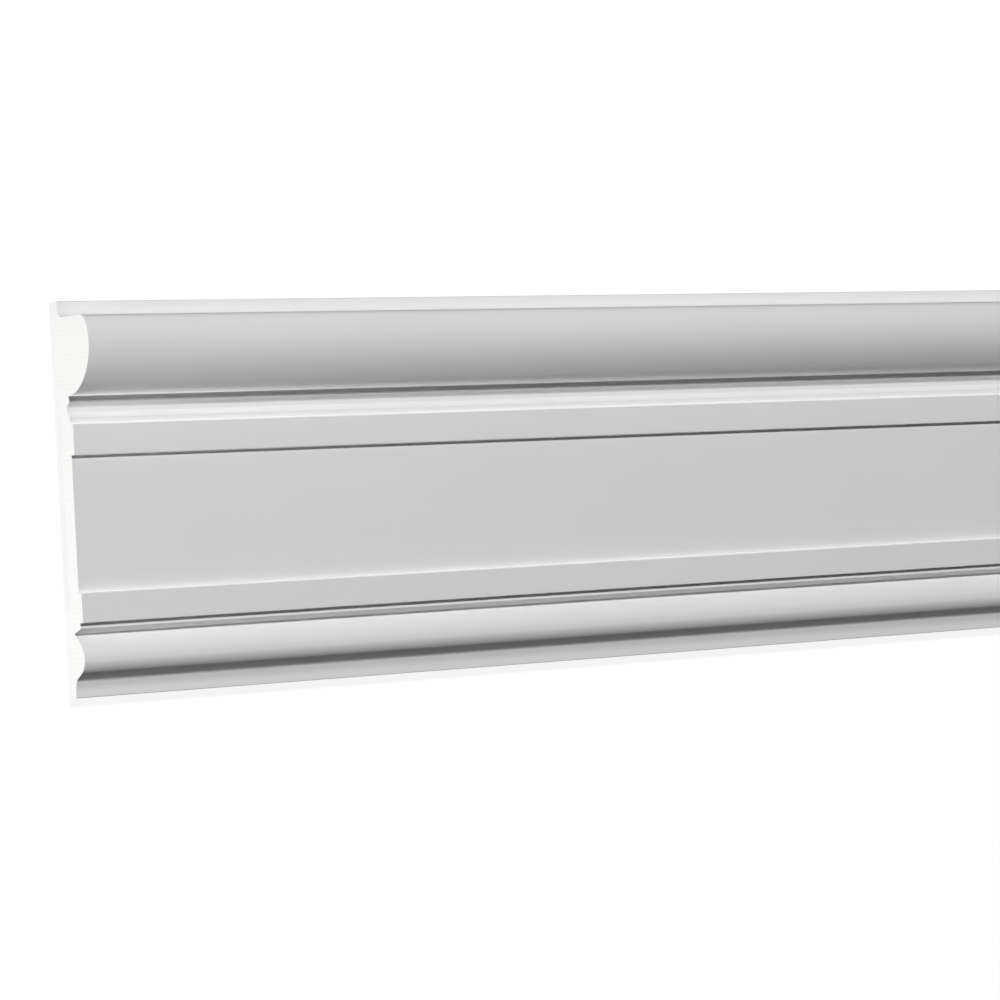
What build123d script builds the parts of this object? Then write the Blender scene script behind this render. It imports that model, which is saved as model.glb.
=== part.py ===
"""Wide profiled wall moulding, one length of stock lying on its back, show face up (mm)."""
import os

from build123d import *

# The length of stock
length = 2000.0
width = 200.0

# Depths from the back plane, and how far members stand off the main face
face_depth = 15.6
roll_projection = 23.0
strip_rise = 2.9
bead_rise = 2.7
listel_rise = 0.3
groove_depth = 5.7
hollow_depth = 2.45
band_depth = 8.1
base_depth = 7.9

# Upper members, from the top edge down
band_height = 8.4
cove_radius = 4.6
roll_height = 39.8
neck_height = 3.65
hollow_upper_height = 1.75
hollow_floor_height = 2.8
hollow_lower_height = 2.6
fillet_height = 3.4
upper_strip_height = 15.6

# Lower members, from the bottom edge up
base_height = 4.6
flare_height = 4.25
underside_height = 5.9
bead_nose_height = 4.65
bead_crown_height = 7.4
bead_slope_height = 4.8
groove_floor_height = 0.9
groove_slope_height = 2.3
listel_height = 2.9
lower_strip_height = 15.1

# Shape of the large roll: how far down its nose sits, and the points where its curve changes
nose_drop = 14.3
shoulder_drop = 3.3
shoulder_setback = 2.7
roll_top_setback = 8.15
belly_rise = 2.1
belly_setback = 14.4

# Shape of the lower bead: the flare of the base under it, the fall of its crown, the rounding of its turns
flare_rise = 1.3
crown_setback = 2.9
flare_radius = 10.0
crease_radius = 2.4
bead_radius = 7.2

# Rounding along both sides of the hollow's floor
hollow_radius = 1.2

# Shallow relief along the back, between two flat lands
upper_land = 43.8
lower_land = 42.8
relief_depth = 6.0
relief_slope = 1.6

# Softened arrises of a moulded piece, and how near a vertex lies to the corner it is picked by
arris_radius = 0.4
edge_radius = 0.8
pick_tolerance = 0.001

# Heights up the section, measured from the bottom edge
ledge = width - band_height
roll_foot = ledge - roll_height
hollow_top = roll_foot - neck_height
hollow_floor_top = hollow_top - hollow_upper_height
hollow_floor_bottom = hollow_floor_top - hollow_floor_height
hollow_bottom = hollow_floor_bottom - hollow_lower_height
upper_strip_top = hollow_bottom - fillet_height
upper_strip_bottom = upper_strip_top - upper_strip_height
flare_top = base_height + flare_height
underside_top = flare_top + underside_height
bead_nose = underside_top + bead_nose_height
bead_crown = bead_nose + bead_crown_height
groove_bottom = bead_crown + bead_slope_height
groove_top = groove_bottom + groove_floor_height
listel_bottom = groove_top + groove_slope_height
lower_strip_bottom = listel_bottom + listel_height
lower_strip_top = lower_strip_bottom + lower_strip_height

# Depths out from the back plane
strip_depth = face_depth + strip_rise
roll_depth = face_depth + roll_projection
bead_depth = face_depth + bead_rise
crown_depth = bead_depth - crown_setback
listel_depth = face_depth + listel_rise
crease_depth = base_depth + flare_rise
groove_floor = face_depth - groove_depth
hollow_floor = face_depth - hollow_depth

# Points of the large roll, as height and depth
nose = (ledge - nose_drop, roll_depth)
shoulder = (ledge - shoulder_drop, roll_depth - shoulder_setback)
roll_top = (ledge, roll_depth - roll_top_setback)
belly = (roll_foot + belly_rise, roll_depth - belly_setback)

# Corners that are rounded, by the radius that each takes
flare_corner = [(base_height, base_depth)]
crease_corner = [(flare_top, crease_depth)]
bead_corner = [(underside_top, bead_depth)]
hollow_corners = [(hollow_floor_bottom, hollow_floor), (hollow_floor_top, hollow_floor)]
arrises = [
    (width, 0),
    (0, 0),
    (0, base_depth),
    (listel_bottom, listel_depth),
    (lower_strip_bottom, strip_depth),
    (lower_strip_top, strip_depth),
    (upper_strip_bottom, strip_depth),
    (upper_strip_top, strip_depth),
    (hollow_bottom, face_depth),
    (hollow_top, face_depth),
]
rounded_edges = [
    (width, band_depth),
    (width - upper_land, 0),
    (lower_land, 0),
]


def corners(sketch, points):
    """The vertices of a sketch at the given heights and depths."""
    marks = [Vertex(*point) for point in points]
    return sketch.vertices().filter_by(
        lambda vertex: min(vertex.distance_to(mark) for mark in marks) < pick_tolerance
    )


with BuildPart() as moulding:
    with BuildSketch(Plane((-length / 2, -width / 2, 0), x_dir=(0, 1, 0), z_dir=(1, 0, 0))) as section:
        with BuildLine():
            # Back plane with its relief, bottom edge, flared base, and the underside and nose of the bead
            Polyline(
                (width, band_depth),
                (width, 0),
                (width - upper_land, 0),
                (width - upper_land - relief_slope, relief_depth),
                (lower_land + relief_slope, relief_depth),
                (lower_land, 0),
                (0, 0),
                (0, base_depth),
                (base_height, base_depth),
                (flare_top, crease_depth),
                (underside_top, bead_depth),
                (bead_nose, bead_depth),
            )
            # Crown of the lower bead, and its fall into the groove
            crown = TangentArc((bead_nose, bead_depth), (bead_crown, crown_depth), tangent=(1, 0))
            TangentArc((bead_crown, crown_depth), (groove_bottom, groove_floor), tangent=crown % 1)
            # Groove, listel, lower strip, broad flat, upper strip and fillet, then the roll's hollow and neck
            Polyline(
                (groove_bottom, groove_floor),
                (groove_top, groove_floor),
                (listel_bottom, listel_depth),
                (lower_strip_bottom, face_depth),
                (lower_strip_bottom, strip_depth),
                (lower_strip_top, strip_depth),
                (lower_strip_top, face_depth),
                (upper_strip_bottom, face_depth),
                (upper_strip_bottom, strip_depth),
                (upper_strip_top, strip_depth),
                (upper_strip_top, face_depth),
                (hollow_bottom, face_depth),
                (hollow_floor_bottom, hollow_floor),
                (hollow_floor_top, hollow_floor),
                (hollow_top, face_depth),
                (roll_foot, face_depth),
            )
            # Large roll, which turns over at its top into the flat ledge
            lower_curve = TangentArc(nose, belly, tangent=(-1, 0))
            TangentArc(belly, (roll_foot, face_depth), tangent=lower_curve % 1)
            upper_curve = TangentArc(nose, shoulder, tangent=(1, 0))
            TangentArc(shoulder, roll_top, tangent=upper_curve % 1)
            # Ledge, cove and top band
            Line(roll_top, (ledge, band_depth + cove_radius))
            TangentArc(
                (ledge, band_depth + cove_radius),
                (ledge + cove_radius, band_depth),
                tangent=(0, -1),
            )
            Line((ledge + cove_radius, band_depth), (width, band_depth))
        make_face()
        fillet(corners(section, flare_corner), flare_radius)
        fillet(corners(section, crease_corner), crease_radius)
        fillet(corners(section, bead_corner), bead_radius)
        fillet(corners(section, hollow_corners), hollow_radius)
        fillet(corners(section, arrises), arris_radius)
        fillet(corners(section, rounded_edges), edge_radius)
    extrude(amount=length)

moulding.part.label = "moulding"
os.makedirs("parts", exist_ok=True)
export_step(moulding.part, "parts/moulding.step")
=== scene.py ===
"""A length of white wall moulding, lying on its back on a pale floor with its show face up."""
import math

import bmesh
import bpy
from mathutils import Matrix, Vector


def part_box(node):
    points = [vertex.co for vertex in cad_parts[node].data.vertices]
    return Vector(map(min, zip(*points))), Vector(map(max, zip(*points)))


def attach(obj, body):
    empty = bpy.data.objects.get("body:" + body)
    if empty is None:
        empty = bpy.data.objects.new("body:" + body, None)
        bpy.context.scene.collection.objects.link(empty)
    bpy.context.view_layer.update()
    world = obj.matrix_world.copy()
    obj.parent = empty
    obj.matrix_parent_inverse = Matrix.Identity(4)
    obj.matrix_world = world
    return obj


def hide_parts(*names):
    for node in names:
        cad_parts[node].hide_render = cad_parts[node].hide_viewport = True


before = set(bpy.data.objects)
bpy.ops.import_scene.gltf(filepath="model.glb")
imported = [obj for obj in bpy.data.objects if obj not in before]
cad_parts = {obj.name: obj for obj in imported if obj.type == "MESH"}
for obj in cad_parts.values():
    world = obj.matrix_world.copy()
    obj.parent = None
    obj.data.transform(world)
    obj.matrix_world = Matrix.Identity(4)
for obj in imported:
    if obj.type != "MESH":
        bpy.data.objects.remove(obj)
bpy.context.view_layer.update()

# The moulding
# One straight length of wall trim. Rigid polyurethane foam is poured into a closed mould, so the whole
# section is one piece, from the band and the large roll at the top edge to the bead at the bottom edge.
# The ends are sawn square.
MM = 0.001
stock_low, stock_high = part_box("moulding")
stock_length = (stock_high - stock_low).x

# Width of the stock and depths of its members off the back, in millimetres
width = (stock_high - stock_low).y / MM
roll_depth = (stock_high - stock_low).z / MM
shoulder_depth = 35.9
roll_top_depth = 30.45
belly_depth = 24.2
face_depth = 15.6
strip_depth = 18.5
bead_depth = 18.3
crown_depth = 15.4
listel_depth = 15.9
groove_floor = 9.9
hollow_floor = 13.15
band_depth = 8.1
crease_depth = 9.2
base_depth = 7.9
relief_depth = 6.0

# Heights of the members up the width, from the top edge down to the upper strip
ledge = width - 8.4
roll_shoulder = ledge - 3.3
roll_nose = ledge - 14.3
roll_belly = ledge - 37.7
roll_foot = ledge - 39.8
hollow_top = roll_foot - 3.65
floor_top = hollow_top - 1.75
floor_bottom = floor_top - 2.8
hollow_bottom = floor_bottom - 2.6
upper_strip_top = hollow_bottom - 3.4
upper_strip_bottom = upper_strip_top - 15.6

# Heights of the members from the bottom edge up to the lower strip
base_top = 4.6
flare_top = base_top + 4.25
underside_top = flare_top + 5.9
bead_nose = underside_top + 4.65
bead_crown = bead_nose + 7.4
groove_bottom = bead_crown + 4.8
groove_top = groove_bottom + 0.9
listel_bottom = groove_top + 2.3
lower_strip_bottom = listel_bottom + 2.9
lower_strip_top = lower_strip_bottom + 15.1

# Lands of the back on each side of its shallow relief
upper_land = width - 43.8
lower_land = 42.8
relief_slope = 1.6

# Radii of the cove and the rounded turns, then of the arrises and edges that a mould softens
cove_radius = 4.6
hollow_radius = 1.2
flare_radius = 10.0
crease_radius = 2.4
bead_radius = 7.2
arris_radius = 0.4
edge_radius = 0.8

UP = Vector((0, 1, 0))
ALONG = Vector((1, 0, 0))
ARC_STEP = math.radians(2.5)
moulding = bmesh.new()


def at(height, depth):
    """A point of the near end, by its height up the width and its depth off the back."""
    return stock_low + Vector((0, height, depth)) * MM


def run(vert, *points):
    """Extrudes the outline in straight lines from a vertex through points of height and depth."""
    for height, depth in points:
        vert = bmesh.ops.extrude_vert_indiv(moulding, verts=[vert])["verts"][0]
        vert.co = at(height, depth)
    return vert


def swing(vert, heading, height, depth):
    """Spins the outline from a vertex on a heading, along the arc that ends at a height and depth."""
    chord = at(height, depth) - vert.co
    inward = ALONG.cross(heading)
    turn = 2 * math.atan2(chord.dot(inward), chord.dot(heading))
    centre = vert.co + inward * chord.length_squared / (2 * chord.dot(inward))
    steps = math.ceil(abs(turn) / ARC_STEP)
    spun = bmesh.ops.spin(moulding, geom=[vert], cent=centre, axis=ALONG, angle=turn, steps=steps)
    end = next(part for part in spun["geom_last"] if isinstance(part, bmesh.types.BMVert))
    return end, Matrix.Rotation(turn, 3, ALONG) @ heading


# The large roll, drawn from its nose both ways
nose = moulding.verts.new(at(roll_nose, roll_depth))
belly, down_heading = swing(nose, -UP, roll_belly, belly_depth)
foot, down_heading = swing(belly, down_heading, roll_foot, face_depth)
shoulder, up_heading = swing(nose, UP, roll_shoulder, shoulder_depth)
roll_top, up_heading = swing(shoulder, up_heading, ledge, roll_top_depth)

# From the roll's top along the ledge and the band, round the back, and up to the nose of the bead
bead = run(
    roll_top,
    (ledge, band_depth),
    (width, band_depth),
    (width, 0),
    (upper_land, 0),
    (upper_land - relief_slope, relief_depth),
    (lower_land + relief_slope, relief_depth),
    (lower_land, 0),
    (0, 0),
    (0, base_depth),
    (base_top, base_depth),
    (flare_top, crease_depth),
    (underside_top, bead_depth),
    (bead_nose, bead_depth),
)

# Crown of the bead, groove, listel, lower strip, broad flat, upper strip, fillet, hollow and neck
crown, fall_heading = swing(bead, UP, bead_crown, crown_depth)
groove, fall_heading = swing(crown, fall_heading, groove_bottom, groove_floor)
neck = run(
    groove,
    (groove_top, groove_floor),
    (listel_bottom, listel_depth),
    (lower_strip_bottom, face_depth),
    (lower_strip_bottom, strip_depth),
    (lower_strip_top, strip_depth),
    (lower_strip_top, face_depth),
    (upper_strip_bottom, face_depth),
    (upper_strip_bottom, strip_depth),
    (upper_strip_top, strip_depth),
    (upper_strip_top, face_depth),
    (hollow_bottom, face_depth),
    (floor_bottom, hollow_floor),
    (floor_top, hollow_floor),
    (hollow_top, face_depth),
)
moulding.edges.new((neck, foot))

# The closed outline is filled and drawn out to the length of the stock
bmesh.ops.edgeloop_fill(moulding, edges=moulding.edges[:])
drawn = bmesh.ops.extrude_face_region(moulding, geom=moulding.faces[:])
far_end = [part for part in drawn["geom"] if isinstance(part, bmesh.types.BMVert)]
bmesh.ops.translate(moulding, verts=far_end, vec=ALONG * stock_length)
bmesh.ops.recalc_face_normals(moulding, faces=moulding.faces[:])

# How near an end of a long edge lies to the point that it is picked by
pick_distance = 0.01 * MM


def soften(offset, segments, *points):
    """Rounds the long edges that run through points of height and depth."""
    near = [at(*point) for point in points]
    edges = [
        edge
        for edge in moulding.edges
        if edge.calc_length() > stock_length / 2
        for point in near
        if min((vert.co - point).length for vert in edge.verts) < pick_distance
    ]
    bmesh.ops.bevel(
        moulding,
        geom=edges,
        offset=offset * MM,
        affect="EDGES",
        segments=segments,
        profile=0.5,
        material=-1,
    )


def reach(radius, turn):
    """How far the round of a corner reaches from it along both sides, by its radius and turn."""
    return radius * math.tan(turn / 2)


# Cove and rounds of the members, then the softened arrises and edges that a mould leaves
flare_turn = math.atan2(crease_depth - base_depth, flare_top - base_top)
underside_turn = math.atan2(bead_depth - crease_depth, underside_top - flare_top)
hollow_lower_turn = math.atan2(face_depth - hollow_floor, floor_bottom - hollow_bottom)
hollow_upper_turn = math.atan2(face_depth - hollow_floor, hollow_top - floor_top)
soften(cove_radius, 16, (ledge, band_depth))
soften(reach(hollow_radius, hollow_lower_turn), 8, (floor_bottom, hollow_floor))
soften(reach(hollow_radius, hollow_upper_turn), 8, (floor_top, hollow_floor))
soften(reach(flare_radius, flare_turn), 8, (base_top, base_depth))
soften(reach(crease_radius, underside_turn - flare_turn), 8, (flare_top, crease_depth))
soften(reach(bead_radius, underside_turn), 24, (underside_top, bead_depth))
soften(
    arris_radius,
    4,
    (width, 0),
    (0, 0),
    (0, base_depth),
    (listel_bottom, listel_depth),
    (lower_strip_bottom, strip_depth),
    (lower_strip_top, strip_depth),
    (upper_strip_bottom, strip_depth),
    (upper_strip_top, strip_depth),
    (hollow_bottom, face_depth),
    (hollow_top, face_depth),
)
soften(edge_radius, 6, (width, band_depth), (upper_land, 0), (lower_land, 0))

# The ends and the back have finishes of their own, and every other face keeps the primer's slot, the first
end_slot = 1
back_slot = 2
end_facing = 0.9
back_facing = -0.1
moulding.normal_update()
for face in moulding.faces:
    face.smooth = True
    if abs(face.normal.x) > end_facing:
        face.material_index = end_slot
    elif face.normal.z < back_facing:
        face.material_index = back_slot

moulding_mesh = bpy.data.meshes.new("moulding_stock")
moulding.to_mesh(moulding_mesh)
moulding.free()
moulding_mesh.set_sharp_from_angle(angle=math.radians(30))

moulding_piece = bpy.data.objects.new("moulding_stock", moulding_mesh)
bpy.context.scene.collection.objects.link(moulding_piece)
flat_faces = moulding_piece.modifiers.new("flat_faces", "WEIGHTED_NORMAL")
flat_faces.keep_sharp = True


def linear(hex_colour):
    """An sRGB hex colour as linear red, green, blue and alpha."""
    channels = [int(hex_colour[i : i + 2], 16) / 255 for i in (1, 3, 5)]
    return [c / 12.92 if c <= 0.04045 else ((c + 0.055) / 1.055) ** 2.4 for c in channels] + [1.0]


def node(tree, kind, settings=None, **inputs):
    """Adds a node to a tree with its settings; an input is a value, or a socket that is linked to it."""
    added = tree.nodes.new(kind)
    for name, value in (settings or {}).items():
        setattr(added, name, value)
    for name, value in inputs.items():
        socket = added.inputs[name.replace("_", " ")]
        if isinstance(value, bpy.types.NodeSocket):
            tree.links.new(value, socket)
        else:
            socket.default_value = value
    return added


# White primer, sprayed on moulded polyurethane: matt and even, with a faint orange peel from the spray gun
primer = bpy.data.materials.new("white_primer_on_polyurethane")
primer.use_nodes = True
tree = primer.node_tree
tree.nodes.clear()
place = node(tree, "ShaderNodeTexCoord").outputs["Object"]
cloud_size = 60 * MM
peel_size = 1.6 * MM
cloud = node(tree, "ShaderNodeTexNoise", Vector=place, Scale=1 / cloud_size, Detail=2.0)
shade = node(
    tree,
    "ShaderNodeMix",
    {"data_type": "RGBA"},
    Factor=cloud.outputs["Fac"],
    A=linear("#F9F9F9"),
    B=linear("#FCFCFC"),
)
peel = node(tree, "ShaderNodeTexNoise", Vector=place, Scale=1 / peel_size, Detail=1.0)
relief = node(tree, "ShaderNodeBump", Strength=0.08, Distance=0.05 * MM, Height=peel.outputs["Fac"])
finish = node(
    tree,
    "ShaderNodeBsdfPrincipled",
    Base_Color=shade.outputs["Result"],
    Roughness=0.6,
    IOR=1.3,
    Specular_IOR_Level=0.15,
    Sheen_Weight=1.0,
    Sheen_Roughness=0.45,
    Normal=relief.outputs["Normal"],
)
node(tree, "ShaderNodeOutputMaterial", Surface=finish.outputs["BSDF"])
moulding_mesh.materials.append(primer)

# Sawn foam at both ends: the blade opens the foam's cells, so the ends are dead matt and finely pitted,
# with faint marks of the blade. Their white is duller than the primer's, partly the foam's own and partly
# painted shade that keeps the strongly lit ends below pure white. The cells are about 0.3 mm, and are drawn
# coarser to be seen. The wave texture turns through 20 radians over a length of one at a scale of one.
sawn_foam = bpy.data.materials.new("sawn_polyurethane_foam")
sawn_foam.use_nodes = True
tree = sawn_foam.node_tree
tree.nodes.clear()
place = node(tree, "ShaderNodeTexCoord").outputs["Object"]
cell_size = 0.8 * MM
mark_spacing = 2.5 * MM
wave_radians = 20
cells = node(tree, "ShaderNodeTexVoronoi", Vector=place, Scale=1 / cell_size)
marks = node(
    tree,
    "ShaderNodeTexWave",
    {"bands_direction": "Y"},
    Vector=place,
    Scale=math.tau / wave_radians / mark_spacing,
    Distortion=2.0,
    Detail=1.0,
)
# The ends' two whites follow the blade marks; both are dimmed as painted shade, besides the foam's own
# dullness
blade_marks_and_shade = node(
    tree,
    "ShaderNodeMix",
    {"data_type": "RGBA"},
    Factor=marks.outputs["Fac"],
    A=linear("#EEEEED"),
    B=linear("#F0F0EF"),
)
pits = node(tree, "ShaderNodeBump", Strength=0.25, Distance=0.15 * MM, Height=cells.outputs["Distance"])
sawn = node(
    tree,
    "ShaderNodeBsdfPrincipled",
    Base_Color=blade_marks_and_shade.outputs["Result"],
    Roughness=0.9,
    IOR=1.5,
    Specular_IOR_Level=0.1,
    Normal=pits.outputs["Normal"],
)
node(tree, "ShaderNodeOutputMaterial", Surface=sawn.outputs["BSDF"])
moulding_mesh.materials.append(sawn_foam)

# Bare moulded skin on the back: the foam as it leaves the mould, unpainted, a warmer white than the primer,
# with streaks along the length where the foam ran as it rose
bare_skin = bpy.data.materials.new("bare_polyurethane_skin")
bare_skin.use_nodes = True
tree = bare_skin.node_tree
tree.nodes.clear()
place = node(tree, "ShaderNodeTexCoord").outputs["Object"]
streak_width = 6 * MM
streak_length = 150 * MM
along = node(
    tree,
    "ShaderNodeMapping",
    Vector=place,
    Scale=(1 / streak_length, 1 / streak_width, 1 / streak_width),
)
streaks = node(tree, "ShaderNodeTexNoise", Vector=along.outputs["Vector"], Scale=1.0, Detail=3.0)
tint = node(
    tree,
    "ShaderNodeMix",
    {"data_type": "RGBA"},
    Factor=streaks.outputs["Fac"],
    A=linear("#E6E3DA"),
    B=linear("#F1EFE9"),
)
ripple = node(tree, "ShaderNodeBump", Strength=0.2, Distance=0.1 * MM, Height=streaks.outputs["Fac"])
skin = node(
    tree,
    "ShaderNodeBsdfPrincipled",
    Base_Color=tint.outputs["Result"],
    Roughness=0.5,
    IOR=1.5,
    Normal=ripple.outputs["Normal"],
)
node(tree, "ShaderNodeOutputMaterial", Surface=skin.outputs["BSDF"])
moulding_mesh.materials.append(bare_skin)
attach(moulding_piece, "root")
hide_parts("moulding")

# The floor
# A wide sheet of white studio paper that the moulding lies on. To the camera it is as white as the paper
# behind a product picture, with the moulding's soft shadow on it.
floor_reach = 10.0
floor_mesh = bpy.data.meshes.new("floor")
sheet = bmesh.new()
bmesh.ops.create_grid(sheet, x_segments=1, y_segments=1, size=floor_reach)
sheet.to_mesh(floor_mesh)
sheet.free()
floor = bpy.data.objects.new("floor", floor_mesh)
bpy.context.scene.collection.objects.link(floor)


def seen_directly(tree):
    """One for rays from the camera, a mirror or glass, and nought for rays that light other things."""
    path = node(tree, "ShaderNodeLightPath")
    sharp = node(tree, "ShaderNodeMath", {"operation": "MAXIMUM"})
    tree.links.new(path.outputs["Is Glossy Ray"], sharp.inputs[0])
    tree.links.new(path.outputs["Is Transmission Ray"], sharp.inputs[1])
    seen = node(tree, "ShaderNodeMath", {"operation": "MAXIMUM"})
    tree.links.new(path.outputs["Is Camera Ray"], seen.inputs[0])
    tree.links.new(sharp.outputs["Value"], seen.inputs[1])
    return seen.outputs["Value"]


# Matt white paper: a white that the camera sees evenly, over a paper grey that takes the soft shadow
paper = bpy.data.materials.new("white_studio_paper")
paper.use_nodes = True
tree = paper.node_tree
tree.nodes.clear()
glow = node(tree, "ShaderNodeEmission", Color=linear("#FFFFFF"), Strength=0.9)
faint = node(tree, "ShaderNodeBsdfDiffuse", Color=linear("#7C7C7C"))
lit = node(tree, "ShaderNodeAddShader")
tree.links.new(glow.outputs["Emission"], lit.inputs[0])
tree.links.new(faint.outputs["BSDF"], lit.inputs[1])
bounce = node(tree, "ShaderNodeBsdfDiffuse", Color=linear("#303030"))
either = node(tree, "ShaderNodeMixShader", Fac=seen_directly(tree))
tree.links.new(bounce.outputs["BSDF"], either.inputs[1])
tree.links.new(lit.outputs["Shader"], either.inputs[2])
node(tree, "ShaderNodeOutputMaterial", Surface=either.outputs["Shader"])
floor_mesh.materials.append(paper)

# The light
# A soft key lamp, high up and well over towards the moulding's top edge, a little beyond its near end, gives
# the members their shadows. A small lamp low down beyond each end whitens the sawn foam and lights along
# the members.
view_middle = Vector((-0.72, 0.0, 0.0))
end_gap = 0.9


def lamp(name, place, size, power):
    """A round soft lamp that faces the part of the moulding that the camera sees."""
    data = bpy.data.lights.new(name, "AREA")
    data.shape = "DISK"
    data.size = size
    data.energy = power
    added = bpy.data.objects.new(name, data)
    added.location = place
    added.rotation_euler = (view_middle - Vector(place)).to_track_quat("-Z", "Y").to_euler()
    added.visible_camera = False
    bpy.context.scene.collection.objects.link(added)


lamp("key_lamp", place=(-1.15, 2.34, 3.82), size=0.8, power=138.0)
for name, x in (("near_end_lamp", stock_low.x - end_gap), ("far_end_lamp", stock_high.x + end_gap)):
    lamp(name, place=(x, -0.066, 0.05), size=0.1, power=8.6)

# The room behind is white to the camera, and so dim as a light that the lamps alone shape the members
world = bpy.data.worlds.new("studio")
bpy.context.scene.world = world
world.use_nodes = True
tree = world.node_tree
tree.nodes.clear()
white = node(tree, "ShaderNodeBackground", Color=linear("#FFFFFF"), Strength=1.0)
dim = node(tree, "ShaderNodeBackground", Color=linear("#FFFFFF"), Strength=0.004)
either = node(tree, "ShaderNodeMixShader", Fac=seen_directly(tree))
tree.links.new(dim.outputs["Background"], either.inputs[1])
tree.links.new(white.outputs["Background"], either.inputs[2])
node(tree, "ShaderNodeOutputWorld", Surface=either.outputs["Shader"])

# The camera
# It looks down on the near end of the moulding from beyond that end, with a long lens and a slight tilt.
# Light may bounce many times between the white members before it reaches the lens.
camera_place = Vector((-1.98485, -0.02256, 1.77708))
camera_aim = Vector((-0.73882, -0.01061, 0.0156))
camera_tilt = math.radians(2.963)
sight = (camera_aim - camera_place).normalized()
across = Matrix.Rotation(camera_tilt, 3, sight) @ sight.cross(UP).normalized()
turned = Matrix((across, across.cross(sight), -sight)).transposed()
lens = bpy.data.cameras.new("camera")
lens.sensor_width = 36.0
lens.lens = 144.18
camera = bpy.data.objects.new("camera", lens)
camera.matrix_world = Matrix.Translation(camera_place) @ turned.to_4x4()
bpy.context.scene.collection.objects.link(camera)
bpy.context.scene.camera = camera
bpy.context.scene.view_settings.view_transform = "Standard"
bpy.context.scene.cycles.diffuse_bounces = 8
